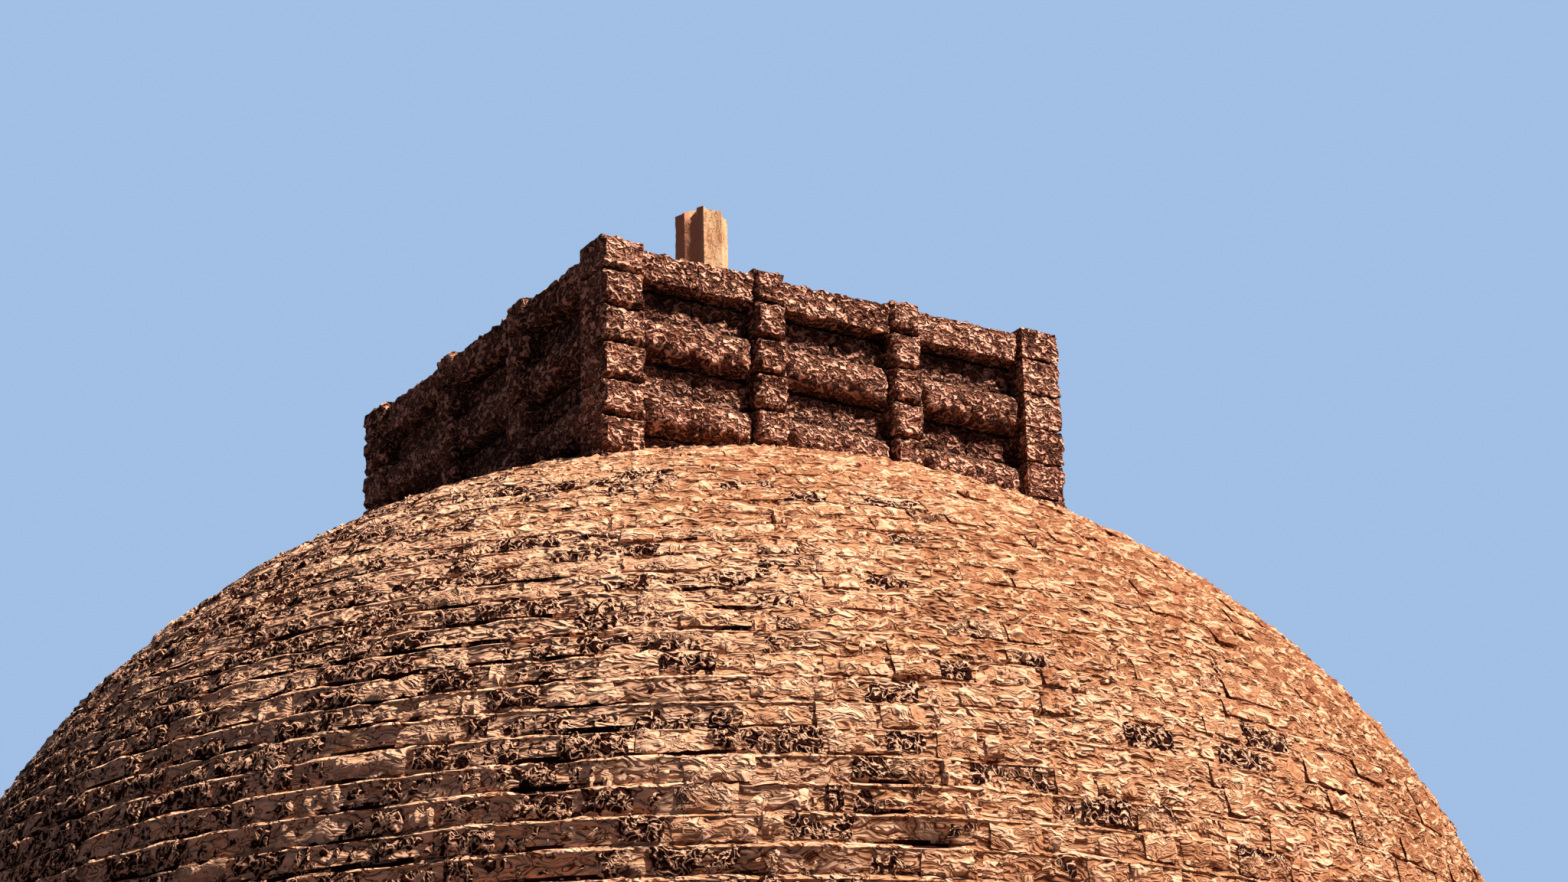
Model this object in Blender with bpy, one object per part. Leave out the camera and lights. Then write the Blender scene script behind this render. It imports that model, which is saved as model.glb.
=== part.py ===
# A stupa: a round stepped base, a stone dome, and on its top a square block of dark laterite
# whose four sides carry a railing in relief, with the stub of an eight-sided shaft rising from it.
# Metres, +Z up. The origin is the middle of the underside, on the ground.
# The square block's sides face -Y (front), +X (right), +Y (back) and -X (left).

import math

import bmesh
import bpy
from mathutils import Matrix, Vector

for item in list(bpy.data.objects):
    bpy.data.objects.remove(item, do_unlink=True)

# Clearance between stones that touch
GAP = 0.0003

# Round base, from the ground up
PLINTH_HEIGHT = 0.35
PLINTH_PROJECTION = 0.20
TERRACE_HEIGHT = 3.30
COPING_HEIGHT = 0.25
COPING_OVERHANG = 0.10
WALK_WIDTH = 1.25
RING_COUNT = 3
RING_HEIGHT = 0.60
RING_LEDGE = 0.30
BASE_SIDES = 72

# Dome, a little flatter than half a ball, in courses of one height measured up its curve
DOME_RADIUS = 5.24
DOME_RISE = 4.46
DOME_COURSE = 0.178
LEDGE_SHARE = 0.16
DOME_SIDES = 60
DOME_STEPS = 18
SEAT_MARGIN = 1.02

# Square block with the railing in relief
BLOCK_SIDE = 3.55
BLOCK_STAND = 0.986
COURSE = 0.25
CORNER_POST = 0.305
MIDDLE_POST = 0.225
PANEL_RECESS = 0.11
POST_EDGE = 0.018
CAP_DROP = 0.03
CAP_HEIGHT = 0.235
CAP_BULGE = 0.058
RAIL_HEIGHT = 0.27
RAIL_BULGE = 0.055
RAIL_SHOULDER = 0.012
CROWN_DROP = 0.06
ARC_STEPS = 8
FOOT_REACH = 0.20

# Eight-sided shaft
SHAFT_ACROSS = 0.37
SHAFT_RISE = 1.22
SHAFT_FLUTE = 0.013
SHAFT_TURN = math.radians(-3.0)
SOCKET_DEPTH = 0.45
CHIP_RADIUS = 0.075

# Levels that follow from the sizes
TERRACE_FOOT = PLINTH_HEIGHT
TERRACE_TOP = TERRACE_FOOT + TERRACE_HEIGHT
WALK_LEVEL = TERRACE_TOP + COPING_HEIGHT
SPRINGING = WALK_LEVEL + RING_COUNT * RING_HEIGHT
CROWN = SPRINGING + DOME_RISE
POST_TOP = CROWN + BLOCK_STAND

# Radii of the base, from the dome outwards
TOP_RING_RADIUS = DOME_RADIUS + RING_LEDGE
TERRACE_RADIUS = TOP_RING_RADIUS + (RING_COUNT - 1) * RING_LEDGE + WALK_WIDTH
COPING_RADIUS = TERRACE_RADIUS + COPING_OVERHANG
PLINTH_RADIUS = TERRACE_RADIUS + PLINTH_PROJECTION

# Distances from the block's axis to its faces
POST_FACE = BLOCK_SIDE / 2
PANEL_FACE = POST_FACE - PANEL_RECESS
INNER_CORNER = POST_FACE - CORNER_POST
BAY = (2 * INNER_CORNER - 2 * MIDDLE_POST) / 3
MIDDLE_POST_X = BAY / 2 + MIDDLE_POST / 2

# The dome is smooth from this step of its curve up, where the block stands on it
STEP_ANGLE = math.pi / 2 / DOME_STEPS
SEAT_STEP = math.floor(math.acos(SEAT_MARGIN * POST_FACE * math.sqrt(2) / DOME_RADIUS) / STEP_ANGLE)

# Heights on the block, counted down from the post tops
CAP_TOP = -CAP_DROP
CAP_FOOT = CAP_TOP - CAP_HEIGHT
RAIL_MIDDLES = {"upper_rail": -2.5 * COURSE, "lower_rail": -4.5 * COURSE}

SIDES = {"front": 0, "right": 1, "back": 2, "left": 3}


def stone(name, colour, roughness):
    """A plain Principled material for one kind of stone."""
    material = bpy.data.materials.new(name)
    material.use_nodes = True
    shader = material.node_tree.nodes["Principled BSDF"]
    shader.inputs["Base Color"].default_value = (*colour, 1.0)
    shader.inputs["Roughness"].default_value = roughness
    shader.inputs["Metallic"].default_value = 0.0
    material.diffuse_color = (*colour, 1.0)
    return material


base_stone = stone("base_stone", (0.46, 0.33, 0.24), 0.95)
dome_stone = stone("dome_stone", (0.52, 0.36, 0.25), 0.95)
laterite = stone("laterite", (0.19, 0.085, 0.055), 0.98)
shaft_stone = stone("shaft_stone", (0.66, 0.48, 0.35), 0.85)


def empty(name, location):
    """A level mark that pieces are placed from."""
    mark = bpy.data.objects.new(name, None)
    mark.location = location
    bpy.context.scene.collection.objects.link(mark)
    return mark


def add_object(name, bm, material=None, parent=None, turns=0):
    """Turn a bmesh into a named object, turned by quarter turns about its parent's upright axis."""
    bmesh.ops.recalc_face_normals(bm, faces=bm.faces)
    mesh = bpy.data.meshes.new(name)
    bm.to_mesh(mesh)
    bm.free()
    obj = bpy.data.objects.new(name, mesh)
    bpy.context.scene.collection.objects.link(obj)
    if material:
        mesh.materials.append(material)
    else:
        obj.hide_render = True
        obj.display_type = "WIRE"
    obj.parent = parent
    obj.rotation_euler = (0, 0, turns * math.pi / 2)
    return obj


def cut(obj, cutter):
    """Take one piece's space out of another."""
    modifier = obj.modifiers.new("cut_" + cutter.name, "BOOLEAN")
    modifier.operation = "DIFFERENCE"
    modifier.solver = "EXACT"
    modifier.object = cutter


def smooth(obj, angle=30):
    """Round shading with the sharp edges kept."""
    obj.data.shade_smooth()
    obj.data.set_sharp_from_angle(angle=math.radians(angle))


def block(x0, x1, y0, y1, z0, z1):
    """A plain rectangular block between two corners."""
    bm = bmesh.new()
    bmesh.ops.create_cube(bm, size=1)
    bmesh.ops.scale(bm, vec=(x1 - x0, y1 - y0, z1 - z0), verts=bm.verts)
    bmesh.ops.translate(bm, vec=((x0 + x1) / 2, (y0 + y1) / 2, (z0 + z1) / 2), verts=bm.verts)
    return bm


def prism(outline, z0, z1):
    """An upright prism over a closed outline of (x, y) points."""
    bm = bmesh.new()
    face = bm.faces.new([bm.verts.new((x, y, z0)) for x, y in outline])
    swept = bmesh.ops.extrude_face_region(bm, geom=[face])["geom"]
    tops = [v for v in swept if isinstance(v, bmesh.types.BMVert)]
    bmesh.ops.translate(bm, vec=(0, 0, z1 - z0), verts=tops)
    return bm


def bar(profile, x0, x1):
    """A level bar along X with a closed profile of (y, z) points."""
    bm = bmesh.new()
    face = bm.faces.new([bm.verts.new((x0, y, z)) for y, z in profile])
    swept = bmesh.ops.extrude_face_region(bm, geom=[face])["geom"]
    ends = [v for v in swept if isinstance(v, bmesh.types.BMVert)]
    bmesh.ops.translate(bm, vec=(x1 - x0, 0, 0), verts=ends)
    return bm


def half_ball(radius, rise, skirt):
    """The dome's shape on its springing plane without its courses, with a straight skirt below."""
    bm = bmesh.new()
    bmesh.ops.create_uvsphere(bm, u_segments=DOME_SIDES, v_segments=2 * DOME_STEPS, radius=1)
    below = [v for v in bm.verts if v.co.z < -1e-4]
    bmesh.ops.delete(bm, geom=below, context="VERTS")
    bmesh.ops.scale(bm, vec=(radius, radius, rise), verts=bm.verts)
    rim = [e for e in bm.edges if e.is_boundary]
    swept = bmesh.ops.extrude_edge_only(bm, edges=rim)["geom"]
    lower = [v for v in swept if isinstance(v, bmesh.types.BMVert)]
    bmesh.ops.translate(bm, vec=(0, 0, -skirt), verts=lower)
    bmesh.ops.contextual_create(bm, geom=[e for e in bm.edges if e.is_boundary])
    return bm


def curve_point(angle):
    """Distance from the axis and height above the springing at an angle up the dome's curve."""
    return DOME_RADIUS * math.cos(angle), (DOME_RISE - GAP) * math.sin(angle)


def course_marks():
    """The points of the dome's curve, from the springing up to the seat, where courses meet."""
    fine = 0.0005
    points, angle, run = [curve_point(0)], 0.0, 0.0
    while angle + fine < SEAT_STEP * STEP_ANGLE:
        run += math.dist(curve_point(angle), curve_point(angle + fine))
        angle += fine
        if run >= DOME_COURSE:
            points.append(curve_point(angle))
            run = 0.0
    return points


def course_step(low, high):
    """The foot and head of one course's face, which stands steeper than the curve and leaves a ledge above."""
    (r0, z0), (r1, z1) = low, high
    tall = math.dist(low, high)
    climb = math.atan2(z1 - z0, r0 - r1)
    upright = min(1.0, (math.pi / 2 - climb) / math.radians(10))
    back = upright * min(math.radians(28), max(math.radians(9), climb - math.radians(45)))
    ledge = LEDGE_SHARE * tall
    lean = math.atan2(ledge * math.sin(back), tall - ledge * math.cos(back))
    face = math.hypot(tall - ledge * math.cos(back), ledge * math.sin(back))
    inward = 0.6 * ledge * math.sin(back)
    foot = (r0 - math.sin(climb) * inward, z0 - math.cos(climb) * inward)
    head = (foot[0] - math.cos(climb + lean) * face, foot[1] + math.sin(climb + lean) * face)
    return [foot, head]


def coursed_dome():
    """The dome with a step at every course, and smooth where the block stands on it."""
    marks = course_marks()
    outline = []
    for low, high in zip(marks, marks[1:]):
        outline += course_step(low, high)
    outline += [curve_point(step * STEP_ANGLE) for step in range(SEAT_STEP, DOME_STEPS)]
    outline.append((0.0, DOME_RISE - GAP))
    bm = bmesh.new()
    line = [bm.verts.new((radius, 0, height)) for radius, height in outline]
    edges = [bm.edges.new(pair) for pair in zip(line, line[1:])]
    bmesh.ops.spin(bm, geom=line + edges, cent=(0, 0, 0), axis=(0, 0, 1), angle=2 * math.pi, steps=DOME_SIDES)
    bmesh.ops.remove_doubles(bm, verts=bm.verts, dist=GAP / 10)
    bmesh.ops.contextual_create(bm, geom=[e for e in bm.edges if e.is_boundary])
    return bm


def dome_level(radius):
    """Height of the dome's surface at a distance from the axis."""
    return SPRINGING + DOME_RISE * math.sqrt(max(0.0, 1 - (radius / DOME_RADIUS) ** 2))


def disc(name, radius, z0, z1, material):
    """A solid round course of masonry, flat above and below."""
    bm = bmesh.new()
    bmesh.ops.create_cone(bm, cap_ends=True, segments=BASE_SIDES, radius1=radius, radius2=radius,
                          depth=z1 - z0)
    obj = add_object(name, bm, material)
    obj.location.z = (z0 + z1) / 2
    smooth(obj)
    return obj


# Plinth, terrace, its coping and the basal rings, each resting on the one below
disc("base_plinth", PLINTH_RADIUS, 0, PLINTH_HEIGHT, base_stone)
disc("terrace_wall", TERRACE_RADIUS, TERRACE_FOOT + GAP, TERRACE_TOP, base_stone)
disc("terrace_coping", COPING_RADIUS, TERRACE_TOP + GAP, WALK_LEVEL, base_stone)
for index in range(RING_COUNT):
    ring_radius = TOP_RING_RADIUS + (RING_COUNT - 1 - index) * RING_LEDGE
    ring_foot = WALK_LEVEL + index * RING_HEIGHT
    disc(f"basal_ring_{index + 1}", ring_radius, ring_foot + GAP, ring_foot + RING_HEIGHT, base_stone)

# Dome, and the space that it takes from what stands on it
springing_mark = empty("springing_mark", (0, 0, SPRINGING + GAP))
dome = add_object("dome", coursed_dome(), dome_stone, springing_mark)
smooth(dome, angle=12)
dome_space = add_object("dome_space", half_ball(DOME_RADIUS + GAP, DOME_RISE, skirt=1.0), None,
                        springing_mark)

# Everything on the block is placed from the level of the post tops
top_mark = empty("top_mark", (0, 0, POST_TOP))
FOOT = dome_level(POST_FACE * math.sqrt(2)) - FOOT_REACH - POST_TOP


def core_mesh():
    """Masonry behind the relief: notched at the corners for the posts, rebated above for the caps."""
    out = PANEL_FACE
    inn = INNER_CORNER - GAP
    shelf = CAP_FOOT - GAP
    quarter = [(-inn, -out), (inn, -out), (inn, -inn)]
    outline = []
    for turn in range(4):
        spin = Matrix.Rotation(turn * math.pi / 2, 2)
        outline += [tuple(spin @ Vector(point)) for point in quarter]
    bm = prism(outline, FOOT, shelf)
    shelf_face = max(bm.faces, key=lambda f: f.calc_center_median().z)
    corners = [v for v in shelf_face.verts if abs(abs(v.co.x) - abs(v.co.y)) < 1e-5]
    corners.sort(key=lambda v: math.atan2(v.co.y, v.co.x))
    for a, b in zip(corners, corners[1:] + corners[:1]):
        bmesh.ops.connect_verts(bm, verts=[a, b])
    middle = min((f for f in bm.faces if f.calc_center_median().z > shelf - 1e-5),
                 key=lambda f: f.calc_center_median().xy.length)
    swept = bmesh.ops.extrude_face_region(bm, geom=[middle])["geom"]
    bmesh.ops.delete(bm, geom=[middle], context="FACES_ONLY")
    tops = [v for v in swept if isinstance(v, bmesh.types.BMVert)]
    bmesh.ops.translate(bm, vec=(0, 0, -CROWN_DROP - shelf), verts=tops)
    return bm


core = add_object("block_core", core_mesh(), laterite, top_mark)
cut(core, dome_space)


def rounded(height, bulge, middle, back, grow=0.0, power=2):
    """Profile of a cross-bar: flat behind, swelling to the front, deepest at half height."""
    half = height / 2
    points = [(back, middle - half - grow), (back, middle + half + grow)]
    for step in range(ARC_STEPS + 1):
        t = 1 - 2 * step / ARC_STEPS
        swell = RAIL_SHOULDER + (bulge - RAIL_SHOULDER) * (1 - abs(t) ** power)
        points.append((-PANEL_FACE - swell - grow, middle + t * (half + grow)))
    return points


# Caps and cross-bars run behind the middle posts from corner post to corner post
CAP_BACK = -INNER_CORNER - GAP
RAIL_BACK = -PANEL_FACE - GAP
RAIL_END = INNER_CORNER - GAP
for side, turns in SIDES.items():
    cap_middle = CAP_TOP - CAP_HEIGHT / 2
    rows = {"cap": (CAP_HEIGHT, CAP_BULGE, cap_middle, CAP_BACK, 4)}
    for row, level in RAIL_MIDDLES.items():
        rows[row] = (RAIL_HEIGHT, RAIL_BULGE, level, RAIL_BACK, 2)
    spaces = []
    for row, (height, bulge, middle, back, power) in rows.items():
        mesh = bar(rounded(height, bulge, middle, back, 0.0, power), -RAIL_END, RAIL_END)
        piece = add_object(f"{side}_{row}", mesh, laterite, top_mark, turns)
        smooth(piece)
        cut(piece, dome_space)
        room = bar(rounded(height, bulge, middle, back + GAP, GAP, power), -RAIL_END, RAIL_END)
        spaces.append(add_object(f"{side}_{row}_space", room, None, top_mark, turns))

    for word, sign in (("left", -1), ("right", 1)):
        middle = sign * MIDDLE_POST_X
        mesh = block(middle - MIDDLE_POST / 2, middle + MIDDLE_POST / 2,
                     -POST_FACE, -PANEL_FACE - GAP, FOOT, 0)
        post = add_object(f"{side}_post_{word}", mesh, laterite, top_mark, turns)
        for space in spaces:
            cut(post, space)
        cut(post, dome_space)

# Corner posts, square and full depth, with worn edges
for turns, corner in enumerate(("front_left", "front_right", "back_right", "back_left")):
    mesh = block(-POST_FACE, -INNER_CORNER, -POST_FACE, -INNER_CORNER, FOOT, 0)
    post = add_object(f"{corner}_corner_post", mesh, laterite, top_mark, turns)
    worn = post.modifiers.new("worn_edges", "BEVEL")
    worn.width = POST_EDGE
    worn.segments = 2
    cut(post, dome_space)


def fluted_outline(across, depth, turn, steps=6):
    """Eight sharp arrises with a shallow hollow between each two."""
    corners = [(across / 2 * math.cos(turn + math.radians(22.5 + 45 * k)),
                across / 2 * math.sin(turn + math.radians(22.5 + 45 * k))) for k in range(8)]
    points = []
    for (ax, ay), (bx, by) in zip(corners, corners[1:] + corners[:1]):
        mx, my = (ax + bx) / 2, (ay + by) / 2
        reach = math.hypot(mx, my)
        for step in range(steps):
            t = step / steps
            hollow = depth * 4 * t * (1 - t)
            points.append((ax + (bx - ax) * t - mx / reach * hollow,
                           ay + (by - ay) * t - my / reach * hollow))
    return points


# Shaft, standing in a socket in the block, chipped at its broken top
SOCKET_FLOOR = -CROWN_DROP - SOCKET_DEPTH
shaft_mesh = prism(fluted_outline(SHAFT_ACROSS, SHAFT_FLUTE, SHAFT_TURN), SOCKET_FLOOR + GAP, SHAFT_RISE)
shaft = add_object("shaft", shaft_mesh, shaft_stone, top_mark)
socket_mesh = prism(fluted_outline(SHAFT_ACROSS + 2 * GAP, 0.0, SHAFT_TURN, 1), SOCKET_FLOOR, GAP)
socket = add_object("socket_space", socket_mesh, None, top_mark)
cut(core, socket)

chip_mesh = bmesh.new()
bmesh.ops.create_icosphere(chip_mesh, subdivisions=3, radius=CHIP_RADIUS)
chip = add_object("chip_space", chip_mesh, None, top_mark)
chip.location = (-SHAFT_ACROSS / 2, 0, SHAFT_RISE)
cut(shaft, chip)
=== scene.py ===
# %% [markdown]
# # A stone stupa with a square railed block and a broken shaft
# The model is a round stepped base, a dome of thin courses of rough stones, a square block of dark
# laterite with a railing carved on its sides, and the stub of an eight-sided shaft. The plain solids
# are loaded first. They say where everything is, and every stone below is set against them.

# %% Load the plain solids
import bisect
import math
import random

import bmesh
import bpy
from mathutils import Matrix, Vector, noise


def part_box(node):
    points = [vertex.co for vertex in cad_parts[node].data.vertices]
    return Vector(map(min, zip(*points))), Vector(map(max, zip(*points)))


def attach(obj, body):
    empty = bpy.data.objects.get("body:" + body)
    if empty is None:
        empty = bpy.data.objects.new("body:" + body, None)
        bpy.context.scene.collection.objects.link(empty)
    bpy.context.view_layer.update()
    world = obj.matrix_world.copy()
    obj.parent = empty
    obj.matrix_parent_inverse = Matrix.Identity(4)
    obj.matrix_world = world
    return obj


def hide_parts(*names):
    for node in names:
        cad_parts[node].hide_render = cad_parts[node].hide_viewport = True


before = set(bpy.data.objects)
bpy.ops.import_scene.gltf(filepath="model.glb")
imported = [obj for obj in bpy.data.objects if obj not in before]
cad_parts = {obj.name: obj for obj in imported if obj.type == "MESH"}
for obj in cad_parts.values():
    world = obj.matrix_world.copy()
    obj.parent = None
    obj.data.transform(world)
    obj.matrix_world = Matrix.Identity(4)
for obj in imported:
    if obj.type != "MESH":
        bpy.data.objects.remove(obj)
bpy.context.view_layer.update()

dice = random.Random(41)

# %% [markdown]
# ## Levels and radii
# The sizes are read from the solids, so the stones follow when a solid changes. The dome is half of a
# flattened ball: its outline is an ellipse, and its courses have the same height measured along the
# curve, about 0.18 m, as they do on the real one.

# %% Read the levels
dome_low, dome_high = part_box("dome")
DOME_R = dome_high[0]
SPRINGING, CROWN = dome_low[2], dome_high[2]
DOME_RISE = CROWN - SPRINGING
corner_low, corner_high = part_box("front_left_corner_post")
BLOCK_HALF = -corner_low[0]
POST_TOP = corner_high[2]
CORNER_POST = corner_high[0] - corner_low[0]
print(f"dome radius {DOME_R:.2f}, springing {SPRINGING:.2f}, crown {CROWN:.2f}, post tops {POST_TOP:.2f}")


def dome_point(angle):
    """Radius and height of the dome's surface at an angle above its springing."""
    return DOME_R * math.cos(angle), SPRINGING + DOME_RISE * math.sin(angle)


def dome_level(radius):
    """Height of the dome's surface at a radius."""
    return SPRINGING + DOME_RISE * math.sqrt(max(0.0, 1 - (radius / DOME_R) ** 2))


def course_angles(height, top_radius):
    """Angles that part the dome's curve into courses of one height, up to a radius near the top."""
    angles, angle, run = [0.0], 0.0, 0.0
    while dome_point(angle)[0] > top_radius:
        step = 0.0005
        (r0, z0), (r1, z1) = dome_point(angle), dome_point(angle + step)
        run += math.hypot(r1 - r0, z1 - z0)
        angle += step
        if run >= height:
            angles.append(angle)
            run = 0.0
    return angles


DOME_COURSE = 0.178
dome_curve = [dome_point(a) for a in course_angles(DOME_COURSE, BLOCK_HALF * 0.93)]
print("courses on the dome:", len(dome_curve) - 1)

# %% [markdown]
# ## Camera, light and floor
# The viewer stands on the ground, near one corner of the square block, and looks up at it. A long
# lens keeps the block's edges nearly straight. A strong warm light from the right gives the shape, a
# weak one from behind keeps the far side readable, and a blue sky fills the shade. The floor would
# throw its own light up into every shadow, so it is hidden from the rays that carry such light.
# Colours are shown plainly, without a film curve, so a finish looks the way its numbers say.

# %% Camera, light and floor
camera_data = bpy.data.cameras.new("camera")
camera_data.lens = 82.6
camera_data.sensor_width = 36
camera = bpy.data.objects.new("camera", camera_data)
bpy.context.scene.collection.objects.link(camera)
camera_place = Vector((-11.889, -19.971, POST_TOP - 9.559))
camera_aim = Vector((0.496, -0.239, POST_TOP - 0.487))
look = (camera_aim - camera_place).to_track_quat("-Z", "Y").to_matrix().to_4x4()
camera.matrix_world = Matrix.Translation(camera_place) @ look @ Matrix.Rotation(math.radians(-1.5), 4, "Z")
bpy.context.scene.camera = camera
bpy.context.scene.view_settings.view_transform = "Standard"


def add_sun(name, energy, spread, colour, way):
    """A distant light that shines along a direction."""
    data = bpy.data.lights.new(name, "SUN")
    data.energy = energy
    data.angle = math.radians(spread)
    data.color = colour
    made = bpy.data.objects.new(name, data)
    bpy.context.scene.collection.objects.link(made)
    made.rotation_euler = Vector(way).to_track_quat("-Z", "Y").to_euler()


add_sun("sun", 9.6, 3, (1.0, 0.93, 0.86), (-0.370, 0.457, -0.809))
add_sun("back_light", 1.6, 20, (0.9, 0.95, 1.0), (-0.25, -0.9, -0.45))

world = bpy.data.worlds.new("pale_sky")
bpy.context.scene.world = world
world.use_nodes = True
sky = world.node_tree
sky_light = sky.nodes["Background"]
sky_light.inputs["Color"].default_value = (0.60, 0.61, 0.80, 1)
sky_light.inputs["Strength"].default_value = 0.19
backdrop = sky.nodes.new("ShaderNodeBackground")
backdrop.inputs["Color"].default_value = (0.36, 0.52, 0.78, 1)
ray = sky.nodes.new("ShaderNodeLightPath")
choice = sky.nodes.new("ShaderNodeMixShader")
sky.links.new(ray.outputs["Is Camera Ray"], choice.inputs[0])
sky.links.new(sky_light.outputs[0], choice.inputs[1])
sky.links.new(backdrop.outputs[0], choice.inputs[2])
sky.links.new(choice.outputs[0], sky.nodes["World Output"].inputs["Surface"])

bpy.ops.object.select_all(action="DESELECT")
bpy.ops.mesh.primitive_plane_add(size=160, location=(0, 0, -0.002))
floor = bpy.context.object
floor.name = "floor"
floor_paint = bpy.data.materials.new("floor")
floor_paint.use_nodes = True
floor_paint.node_tree.nodes["Principled BSDF"].inputs["Base Color"].default_value = (0.25, 0.245, 0.235, 1)
floor_paint.node_tree.nodes["Principled BSDF"].inputs["Roughness"].default_value = 0.9
floor.data.materials.append(floor_paint)
floor.visible_diffuse = False
print("camera height above the floor:", round(camera_place.z, 2))

# %% [markdown]
# ## Building a finish from nodes
# Each kind of stone gets its colour and its relief from noise that is fixed in the object's own
# space. A few small helpers keep the node trees short. The first ones turn a screen colour into the
# colour that a shader wants, add a node, and add a colour ramp.

# %% Colours and nodes


def srgb(red, green, blue):
    """A screen colour from 0 to 255 as the linear colour that a shader wants."""
    def line(c):
        c /= 255
        return c / 12.92 if c <= 0.04045 else ((c + 0.055) / 1.055) ** 2.4
    return (line(red), line(green), line(blue), 1)


def node(tree, kind, inputs=None, **settings):
    """Add a node, set its settings, and set or link its inputs."""
    made = tree.nodes.new(kind)
    for key, value in settings.items():
        setattr(made, key, value)
    for key, value in (inputs or {}).items():
        if isinstance(value, bpy.types.NodeSocket):
            tree.links.new(value, made.inputs[key])
        else:
            made.inputs[key].default_value = value
    return made


def ramp(tree, factor, *stops):
    """A colour ramp through (place, colour) stops."""
    made = node(tree, "ShaderNodeValToRGB", {"Fac": factor})
    elements = made.color_ramp.elements
    while len(elements) < len(stops):
        elements.new(0.5)
    for element, (place, colour) in zip(elements, stops):
        element.position = place
        element.color = colour
    return made.outputs["Color"]


print("colour and node helpers ready")

# %% [markdown]
# ## Noise, sums and winding lines
# A noise gives each finish its grain. Where it crosses its middle value it draws thin winding lines, which
# become cracks in pale stone, painted dark partly as painted shade, and ridges on black stone.

# %% Noise and sums


def grain(tree, vector, scale, detail, rough, bend=0.0):
    """Fractal noise of a scale in waves a metre."""
    return node(tree, "ShaderNodeTexNoise", {"Vector": vector, "Scale": scale, "Detail": detail,
                                            "Roughness": rough, "Distortion": bend}).outputs["Fac"]


def mix(tree, factor, first, second):
    """Mix two colours."""
    return node(tree, "ShaderNodeMix", {0: factor, 6: first, 7: second}, data_type="RGBA").outputs[2]


def maths(tree, operation, first, second=0.0, third=0.0):
    """One sum."""
    return node(tree, "ShaderNodeMath", {0: first, 1: second, 2: third}, operation=operation).outputs[0]


def span(tree, value, low, high):
    """A value's smooth way from 0 at low to 1 at high."""
    return node(tree, "ShaderNodeMapRange", {"Value": value, "From Min": low, "From Max": high},
                interpolation_type="SMOOTHSTEP").outputs["Result"]


def blend(tree, factor, first, second):
    """Mix two numbers."""
    return node(tree, "ShaderNodeMix", {0: factor, 2: first, 3: second}, data_type="FLOAT").outputs[0]


def near_middle(tree, wave, inner, outer):
    """0 where a noise is near its middle value, which is along winding lines, and 1 away from them."""
    return span(tree, maths(tree, "ABSOLUTE", maths(tree, "SUBTRACT", wave, 0.5)), inner, outer)


print("noise and sum helpers ready")

# %% [markdown]
# ## From the grain to the shader
# A material starts from the object's own coordinates and ends at a dull, rough shader. The grain of
# the dome's stone lies level along the courses, so its coordinates are bent to follow the dome. Every
# stone also carries a number of its own, called tone, which sets it apart from its neighbours.

# %% Coordinates and shader


def finish(tree, colour, height, distance, strength=1.0):
    """Send colour and relief to the shader. distance is the depth of the relief in metres."""
    shader = tree.nodes["Principled BSDF"]
    tree.links.new(colour, shader.inputs["Base Color"])
    shader.inputs["Roughness"].default_value = 0.95
    shader.inputs["Specular IOR Level"].default_value = 0.05
    bump = node(tree, "ShaderNodeBump", {"Height": height, "Distance": distance, "Strength": strength})
    tree.links.new(bump.outputs["Normal"], shader.inputs["Normal"])


def start(name):
    """A new material, its tree, and the object's own coordinates."""
    material = bpy.data.materials.new(name)
    material.use_nodes = True
    tree = material.node_tree
    return material, tree, node(tree, "ShaderNodeTexCoord").outputs["Object"]


def own_tone(tree):
    """The number from 0 to 1 that each stone has, and each face of a mortar bed."""
    return node(tree, "ShaderNodeAttribute", attribute_name="tone").outputs["Fac"]


def axes(tree, vector):
    """The X, Y and Z parts of a vector."""
    return node(tree, "ShaderNodeSeparateXYZ", {0: vector}).outputs


def from_axis(tree, place):
    """Distance from the upright axis."""
    flat = node(tree, "ShaderNodeVectorMath", {0: place, 1: (1, 1, 0)}, operation="MULTIPLY").outputs[0]
    return node(tree, "ShaderNodeVectorMath", {0: flat}, operation="LENGTH").outputs["Value"]


def along_courses(tree, place, squeeze):
    """Coordinates that follow the dome's courses, squeezed on the way up so that a noise lies level."""
    radius = from_axis(tree, place)
    parts = axes(tree, place)
    rise = maths(tree, "MULTIPLY_ADD", parts[2], 1 / DOME_RISE, -SPRINGING / DOME_RISE)
    angle = maths(tree, "ARCTAN2", rise, maths(tree, "MULTIPLY", radius, 1 / DOME_R))
    way = maths(tree, "MULTIPLY", angle, squeeze * (DOME_R + DOME_RISE) / 2)
    return node(tree, "ShaderNodeCombineXYZ", {0: parts[0], 1: parts[1], 2: way}).outputs[0]


print("coordinate and shader helpers ready")

# %% [markdown]
# ## Dome stone and mortar
# Both are pale tan, with winding brown cracks that run level along the courses; the cracks are dark partly as
# painted shade. Some stones are black with weathering and have winding pale ridges instead. They are common
# on the left in the view, and rare high up and on the sunny right: a stone is black where its tone and the
# weathering of its place add up to more than 1. Where that weathering is high, which is on the left and low
# down where the light grazes, pale stone and mortar are painted paler, as painted light. The mortar is black
# where its slots are open, partly grime and partly painted shade.

# %% Dome stone and mortar
FADE = (-0.120, 0.071, -0.14)  # the direction in which the weathering grows, and how fast it does
FADE_FOOT = 7.3  # the height below which it grows no more
FADE_START = 0.79  # what is added to it everywhere
CLOUDS = 1.6  # how much it differs from patch to patch


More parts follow.
